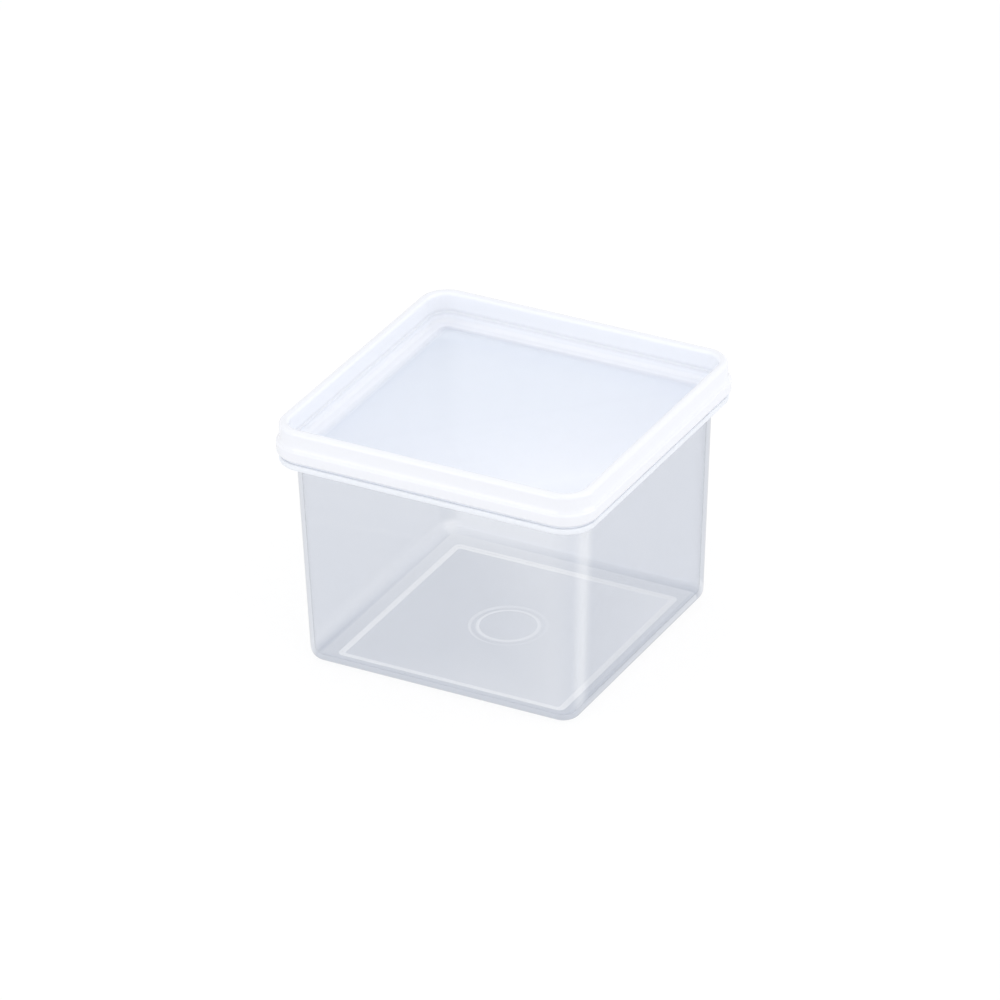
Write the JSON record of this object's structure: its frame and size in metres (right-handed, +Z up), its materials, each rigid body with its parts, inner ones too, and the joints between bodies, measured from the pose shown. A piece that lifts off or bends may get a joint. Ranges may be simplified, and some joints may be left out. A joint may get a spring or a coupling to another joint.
{
  "type": "square food storage container",
  "caption": "Square food storage container: clear plastic tub with drafted walls and a flanged rim, closed by a translucent lift-off lid with a recessed top for stacking.",
  "frame": {"origin": "middle of the footprint, on the surface that the tub stands on", "axes": "+Z up through the middle of the lid, X and Y square to the walls"},
  "size_m": [0.1014, 0.1014, 0.0778],
  "materials": {
    "clear_plastic": "clear polished polypropylene with a cool grey cast",
    "translucent_plastic": "natural translucent white polyethylene, smooth satin"
  },
  "bodies": {
    "tub": {"tub": "clear_plastic"},
    "lid": {"lid": "translucent_plastic"}
  },
  "joints": [
    {"name": "lid_lift", "type": "slide", "parent": "tub", "child": "lid", "axis": [0, 0, 1], "range_m": [0, 0.05]}
  ]
}
